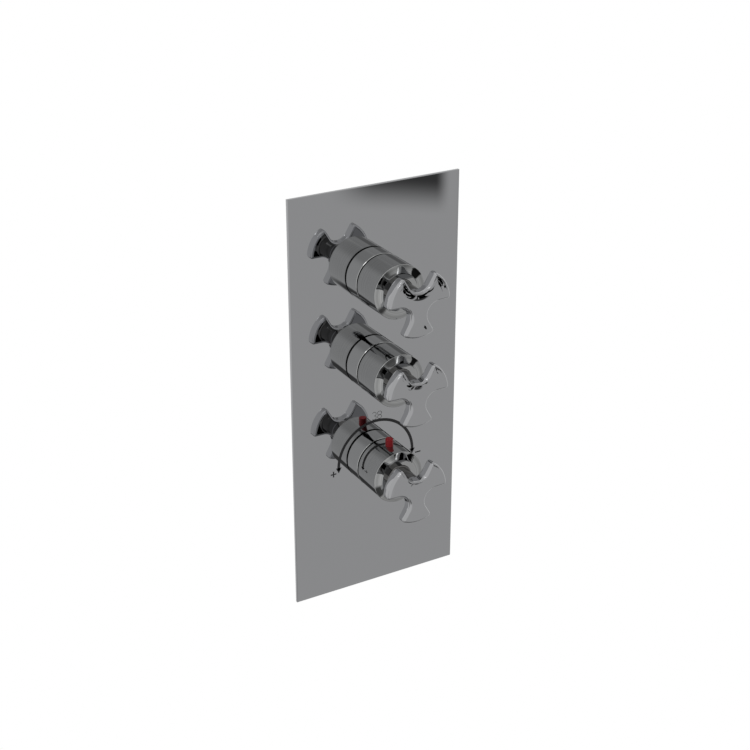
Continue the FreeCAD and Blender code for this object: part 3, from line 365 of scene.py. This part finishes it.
steel_grain = 1800.0
steel, surface, place = finish("spring_steel", (0.60, 0.60, 0.61), 0.28, metal)
drawn = grain(place, steel_grain)
roughened(surface, drawn, smoothest=0.20, roughest=0.35)
bumped(surface, drawn, strength=0.1, distance=0.00005)
coat_nodes(steel, "top_circlip", "middle_circlip", "top_grub_screw", "middle_grub_screw",
           "temperature_grub_screw", "cartridge_strainers")


# ------------------------------------------------------------------ discs, seals and plastics
# The ceramic discs are ground flat, the seals are moulded rubber, and the cartridge's sleeve and
# shuttle, the check valves and the stop ring are moulded plastic. They are pressed or laid in.

ceramic_grain = 400.0
ceramic, surface, place = finish("disc_ceramic", (0.86, 0.85, 0.82), 0.12)
roughened(surface, grain(place, ceramic_grain), smoothest=0.08, roughest=0.16)
coat_nodes(ceramic, "top_moving_disc", "middle_moving_disc", "top_fixed_disc",
           "middle_fixed_disc")

rubber_grain = 700.0
rubber, surface, place = finish("black_rubber", (0.02, 0.02, 0.022), 0.6)
roughened(surface, grain(place, rubber_grain), smoothest=0.5, roughest=0.7)
coat_nodes(rubber, "collar_seals", "cartridge_seals", "top_bush_seal", "middle_bush_seal",
           "top_seat_seal", "middle_seat_seal")

plastic_grain = 500.0
white_plastic, surface, place = finish("white_plastic", (0.82, 0.82, 0.80), 0.4)
roughened(surface, grain(place, plastic_grain), smoothest=0.34, roughest=0.46)
coat_nodes(white_plastic, "cartridge_sleeve", "shuttle", "hot_check_body", "cold_check_body",
           "hot_check_poppet", "cold_check_poppet", "inlet_filters")

grey_plastic, surface, place = finish("grey_plastic", (0.16, 0.16, 0.17), 0.42)
roughened(surface, grain(place, plastic_grain), smoothest=0.36, roughest=0.48)
coat_nodes(grey_plastic, "stop_ring")


# ------------------------------------------------------------------ wax element
# A drawn copper cup, filled with wax and closed by rolling. It stands in the mixed water and
# pushes the shuttle.

copper_grain = 400.0
copper, surface, place = finish("copper", (0.80, 0.42, 0.27), 0.3, metal)
roughened(surface, grain(place, copper_grain), smoothest=0.2, roughest=0.4)
coat_nodes(copper, "wax_element")


# ------------------------------------------------------------------ springs
# Coils of drawn steel wire with closed ends. Four of them stand between a fixed seat and a piece
# that slides; the overload spring travels in its nut.

cartridge_gauge = 0.0013
button_gauge = 0.0004
check_gauge = 0.0008
closed_turns = 0.8
steps_per_turn = 28
wire_corners = 10
along_y = 1
along_z = 2

# Each spring's wire, its turns, its direction and the body that it rides on.
springs = {
    "overload_spring": (cartridge_gauge, 2.2, along_y, "nut_group"),
    "return_spring": (cartridge_gauge, 4.5, along_y, "fixed_valve"),
    "button_spring": (button_gauge, 5.5, along_z, "temperature_control"),
    "hot_check_spring": (check_gauge, 7.0, along_z, "fixed_valve"),
    "cold_check_spring": (check_gauge, 7.0, along_z, "fixed_valve"),
}

# The joint that shortens a spring, by how much, and whether its lower or upper end stays.
lower_end = 0
upper_end = 1
poppet_travel = 0.0026
shortening = {
    "return_spring": ("shuttle_travel", 0.0008, upper_end),
    "button_spring": ("stop_button_press", 0.0022, lower_end),
    "hot_check_spring": ("hot_poppet_lift", poppet_travel, upper_end),
    "cold_check_spring": ("cold_poppet_lift", poppet_travel, upper_end),
}


def wound(name, gauge, turns, axis):
    """The mesh of a compression spring that fills the box of its plain node."""
    low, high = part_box(name)
    middle = (low + high) / 2
    first_side, second_side = [i for i in range(3) if i != axis]
    radius = (high[first_side] - low[first_side] - gauge) / 2
    length = high[axis] - low[axis]
    open_turns = turns - 2 * closed_turns
    open_pitch = (length - gauge - 2 * closed_turns * gauge) / open_turns
    steps = round(turns * steps_per_turn)
    mesh = bmesh.new()
    rows = []
    for step in range(steps + 1):
        turn = turns * step / steps
        climb = (min(turn, closed_turns) * gauge
                 + max(0, min(turn, turns - closed_turns) - closed_turns) * open_pitch
                 + max(0, turn - turns + closed_turns) * gauge)
        angle = 2 * math.pi * turn
        row = []
        for corner in range(wire_corners):
            around = 2 * math.pi * corner / wire_corners
            reach = radius + gauge / 2 * math.cos(around)
            at = [0, 0, 0]
            at[first_side] = middle[first_side] + reach * math.cos(angle)
            at[second_side] = middle[second_side] + reach * math.sin(angle)
            at[axis] = low[axis] + gauge / 2 + climb + gauge / 2 * math.sin(around)
            row.append(mesh.verts.new(at))
        rows.append(row)
    for row, after in zip(rows, rows[1:]):
        for corner in range(wire_corners):
            beside = (corner + 1) % wire_corners
            mesh.faces.new((row[corner], row[beside], after[beside], after[corner]))
    mesh.faces.new(rows[0][::-1])
    mesh.faces.new(rows[-1])
    bmesh.ops.recalc_face_normals(mesh, faces=mesh.faces)
    data = bpy.data.meshes.new(name + "_coil")
    mesh.to_mesh(data)
    mesh.free()
    data.shade_smooth()
    return data


for name, (gauge, turns, axis, body) in springs.items():
    spring = bpy.data.objects.new(name + "_coil", wound(name, gauge, turns, axis))
    spring.data.materials.append(steel)
    bpy.context.scene.collection.objects.link(spring)
    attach(spring, body)
    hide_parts(name)
    if name in shortening:
        joint, travel, fixed_end = shortening[name]
        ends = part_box(name)
        fixed_place = (ends[0] + ends[1]) / 2
        fixed_place[axis] = ends[fixed_end][axis]
        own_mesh(spring)


# ------------------------------------------------------------------ faceplate and gasket
# A 2 mm plate, polished and chromed, which the three collars clamp to the wall. Behind it a foam
# gasket, cut from sheet, seals it to the tiles.

chrome_colour = (0.549, 0.553, 0.565)
haze_clouds = 35.0
wipe_grain = 2600.0
haze_dulls = 0.012
wipes_dull = 0.006
plate_smoothest = 0.001
foam_cells = 1600.0

polished_chrome, surface, place = finish("polished_chrome", chrome_colour, 0.02, metal)
haze = grain(place, haze_clouds)
wipes = grain(place, wipe_grain)
(haze * haze_dulls + wipes * wipes_dull + plate_smoothest).into(surface.inputs["Roughness"])
bumped(surface, haze, strength=0.004, distance=0.0002)
coat_nodes(polished_chrome, "faceplate")

foam, surface, place = finish("foam_gasket", (0.05, 0.05, 0.052), 0.9)
cells = place.node("ShaderNodeTexVoronoi", sockets={"Vector": place, "Scale": foam_cells})
bumped(surface, cells, strength=0.6, distance=0.0002)
coat_nodes(foam, "plate_gasket")


# ------------------------------------------------------------------ printed temperature scale
# Ink on the plate round the temperature handle: a black double-headed arc, plus on the hot side,
# minus on the cold side, and a small grey 38 at the safe temperature. Places are (x, z) from the
# handle's axis.

ink_thickness = 0.00002
ink_grain = 3000.0
scale_radius = 0.02775
scale_line = 0.0020
scale_end_deg = -3.3
scale_steps = 72
arrow_length = 0.0040
arrow_width = 0.0042
sign_length = 0.0042
sign_line = 0.0009
plus_x, plus_z = (-0.0316, -0.0034)
minus_x, minus_z = (0.0322, -0.0034)
number_x, number_z = (0.00075, 0.0314)
digit_height = 0.0053
digit_width = 0.0031
digit_pitch = 0.0040
digit_line = 0.00035
three_sweep_deg = 240
three_steps = 16
eight_steps = 20

scale_centre = (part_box("temperature_collar")[0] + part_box("temperature_collar")[1]) / 2


def printed(name, outlines, ink):
    """Flat ink on the plate: each outline is a loop of (x, z) from the temperature axis."""
    mesh = bmesh.new()
    for outline in outlines:
        corners = [mesh.verts.new((scale_centre.x + x, plate_front - ink_thickness,
                                   scale_centre.z + z)) for x, z in outline]
        mesh.faces.new(corners)
    mesh.normal_update()
    for face in mesh.faces:
        if face.normal.y > 0:
            face.normal_flip()
    data = bpy.data.meshes.new(name)
    mesh.to_mesh(data)
    mesh.free()
    data.materials.append(ink)
    piece = bpy.data.objects.new(name, data)
    bpy.context.scene.collection.objects.link(piece)
    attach(piece, "fixed_valve")


def stroke(points, width):
    """Quads of one width along a line of points."""
    quads = []
    for (x0, z0), (x1, z1) in zip(points, points[1:]):
        reach = math.hypot(x1 - x0, z1 - z0)
        side_x = -(z1 - z0) / reach * width / 2
        side_z = (x1 - x0) / reach * width / 2
        quads.append([(x0 + side_x, z0 + side_z), (x0 - side_x, z0 - side_z),
                      (x1 - side_x, z1 - side_z), (x1 + side_x, z1 + side_z)])
    return quads


def arc(centre_x, centre_z, radius, start_deg, end_deg, steps, stretch=1.0):
    """Points on an arc, which may be stretched sideways."""
    points = []
    for i in range(steps + 1):
        angle = math.radians(start_deg + (end_deg - start_deg) * i / steps)
        points.append((centre_x + radius * math.cos(angle) * stretch,
                       centre_z + radius * math.sin(angle)))
    return points


black_ink, surface, place = finish("black_ink", (0.012, 0.012, 0.013), 0.45)
roughened(surface, grain(place, ink_grain), smoothest=0.38, roughest=0.53)
grey_ink, surface, place = finish("grey_ink", (0.10, 0.10, 0.10), 0.45)
roughened(surface, grain(place, ink_grain), smoothest=0.38, roughest=0.53)

printed("scale_arc", stroke(arc(0, 0, scale_radius, scale_end_deg, 180 - scale_end_deg,
                                scale_steps), scale_line), black_ink)
arrowheads = []
for side in (1, -1):
    tip_x = side * scale_radius * math.cos(math.radians(scale_end_deg))
    tip_z = scale_radius * math.sin(math.radians(scale_end_deg)) - arrow_length / 2
    arrowheads.append([(tip_x, tip_z), (tip_x + arrow_width / 2, tip_z + arrow_length),
                       (tip_x - arrow_width / 2, tip_z + arrow_length)])
printed("scale_arrowheads", arrowheads, black_ink)

half_sign = sign_length / 2
half_line = sign_line / 2
plus = stroke([(plus_x - half_sign, plus_z), (plus_x + half_sign, plus_z)], sign_line)
plus += stroke([(plus_x, plus_z - half_sign), (plus_x, plus_z - half_line)], sign_line)
plus += stroke([(plus_x, plus_z + half_line), (plus_x, plus_z + half_sign)], sign_line)
printed("scale_plus", plus, black_ink)
printed("scale_minus", stroke([(minus_x - half_sign, minus_z), (minus_x + half_sign, minus_z)],
                              sign_line), black_ink)

# Each digit is two ovals, one over the other. Those of the 3 are open to the left.
oval_height = digit_height / 4
stretch = digit_width / 2 / oval_height
three_x = number_x - digit_pitch / 2
eight_x = number_x + digit_pitch / 2
three_opens_deg = three_sweep_deg - 90
digits = stroke(arc(three_x, number_z + oval_height, oval_height, three_opens_deg, -90,
                    three_steps, stretch), digit_line)
digits += stroke(arc(three_x, number_z - oval_height, oval_height, 90, -three_opens_deg,
                     three_steps, stretch), digit_line)
for oval_z in (number_z + oval_height, number_z - oval_height):
    digits += stroke(arc(eight_x, oval_z, oval_height, 0, 360, eight_steps, stretch), digit_line)
printed("scale_number", digits, grey_ink)


# ------------------------------------------------------------------ collars and barrels
# Brass sleeves turned on a lathe and chromed. The collar screws on the housing's nose and
# clamps the plate. The barrel turns in front of it and keeps faint rings from the tool.

turned_colour = (0.54, 0.546, 0.544)
wear_clouds = 60.0
ring_rate = 9000.0
rings_dull = 0.02
collar_smoothest = 0.02

turned_chrome, surface, place = finish("turned_chrome", turned_colour, 0.05, metal)
along_axis = place.axes()[1]
rings = (along_axis * ring_rate).maths("SINE") * 0.5 + 0.5
worn = grain(place, wear_clouds)
(rings * rings_dull + worn * rings_dull + collar_smoothest).into(surface.inputs["Roughness"])
bumped(surface, rings, strength=0.02, distance=0.00003)
coat_nodes(turned_chrome, "top_collar", "middle_collar", "temperature_collar")

line_grain = 2600.0
dull_line = (0.40, 0.405, 0.403)
bright_line = (0.60, 0.606, 0.604)
lines_dull = 0.02
wear_dulls = 0.01
barrel_smoothest = 0.003
groove_lip = 0.0006
groove_blend = 0.0001
# The near-black colour of the painted shade in the groove behind each barrel.
groove_painted_shade = (0.02, 0.02, 0.02)
barrel_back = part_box("top_barrel")[1].y
groove_edge = barrel_back - groove_lip

barrel_chrome, surface, place = finish("barrel_chrome", turned_colour, 0.05, metal)
along_axis = place.axes()[1]
tool_lines = along_axis.node("ShaderNodeTexNoise", {"noise_dimensions": "1D"},
                             {"W": along_axis, "Scale": line_grain, "Detail": 2.0}, output="Fac")
turning = tool_lines.step(0.35, 0.75)
# Painted shade: the groove behind the barrel is painted near black, for the shade and dark
# reflections in it.
groove_shade_mask = along_axis.step(groove_edge - groove_blend, groove_edge)
sheen = mixed(turning, dull_line, bright_line)
mixed(groove_shade_mask, sheen, groove_painted_shade).into(surface.inputs["Base Color"])
worn = grain(place, wear_clouds)
(turning * lines_dull + worn * wear_dulls + barrel_smoothest).into(surface.inputs["Roughness"])
bumped(surface, turning, strength=0.02, distance=0.00002)
coat_nodes(barrel_chrome, "top_barrel", "middle_barrel", "temperature_barrel")

weld_reach = 0.000005
crease_deg = 12.0
flat_limit = 0.99999


def polished_over(*names):
    """Shades a carried-over piece smoothly up to its real edges, and its flat faces flat."""
    for name in names:
        piece = nodes[name]
        packed_normals = piece.data.attributes.get("custom_normal")
        if packed_normals:
            piece.data.attributes.remove(packed_normals)
        for face in piece.data.polygons:
            face.use_smooth = abs(face.normal.y) < flat_limit
        weld = piece.modifiers.new("weld", "WELD")
        weld.merge_threshold = weld_reach
        crease = piece.modifiers.new("crease", "EDGE_SPLIT")
        crease.split_angle = math.radians(crease_deg)


polished_over("top_collar", "middle_collar", "temperature_collar", "top_barrel",
              "middle_barrel", "temperature_barrel")


# ------------------------------------------------------------------ heads
# Three-lobed castings, polished and chromed in one with their necks, which enter the barrels.
# The necks lie in the heads' shade, and their colour is painted dark grey there as painted shade,
# darker than the crowned fronts.

buff_clouds = 90.0
buff_dulls = 0.02
head_smoothest = 0.002
head_thickness = 0.0074
neck_gap = 0.0001
neck_blend = 0.0005
neck_painted_shade = (0.20, 0.197, 0.193)
neck_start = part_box("top_head")[0].y + head_thickness + neck_gap

head_chrome, surface, place = finish("head_chrome", chrome_colour, 0.03, metal)
buffed = grain(place, buff_clouds)
along_head = place.axes()[1]
# Painted shade: behind the heads' backs the necks are painted dark grey.
neck_shade_mask = along_head.step(neck_start, neck_start + neck_blend)
mixed(neck_shade_mask, chrome_colour, neck_painted_shade).into(surface.inputs["Base Color"])
(buffed * buff_dulls + head_smoothest).into(surface.inputs["Roughness"])
bumped(surface, buffed, strength=0.004, distance=0.0003)
coat_nodes(head_chrome, "top_head", "middle_head", "temperature_head")
polished_over("top_head", "middle_head", "temperature_head")


# ------------------------------------------------------------------ stop button
# Moulded in red acetal. It stands in the temperature barrel on a small spring, and is pressed to
# pass 38 degrees.

acetal_grain = 900.0
acetal_gloss = 0.3
red_plastic, surface, place = finish("red_plastic", (0.155, 0.004, 0.007), 0.35)
surface.inputs["Specular IOR Level"].default_value = acetal_gloss
roughened(surface, grain(place, acetal_grain), smoothest=0.28, roughest=0.40)
coat_nodes(red_plastic, "stop_button")


# Three mirrorings give the dark undersides of the chrome, and light paths that aren't ended
# early keep those undersides free of speckle.

bpy.context.scene.cycles.max_bounces = 8
bpy.context.scene.cycles.glossy_bounces = 3
bpy.context.scene.cycles.min_light_bounces = 8
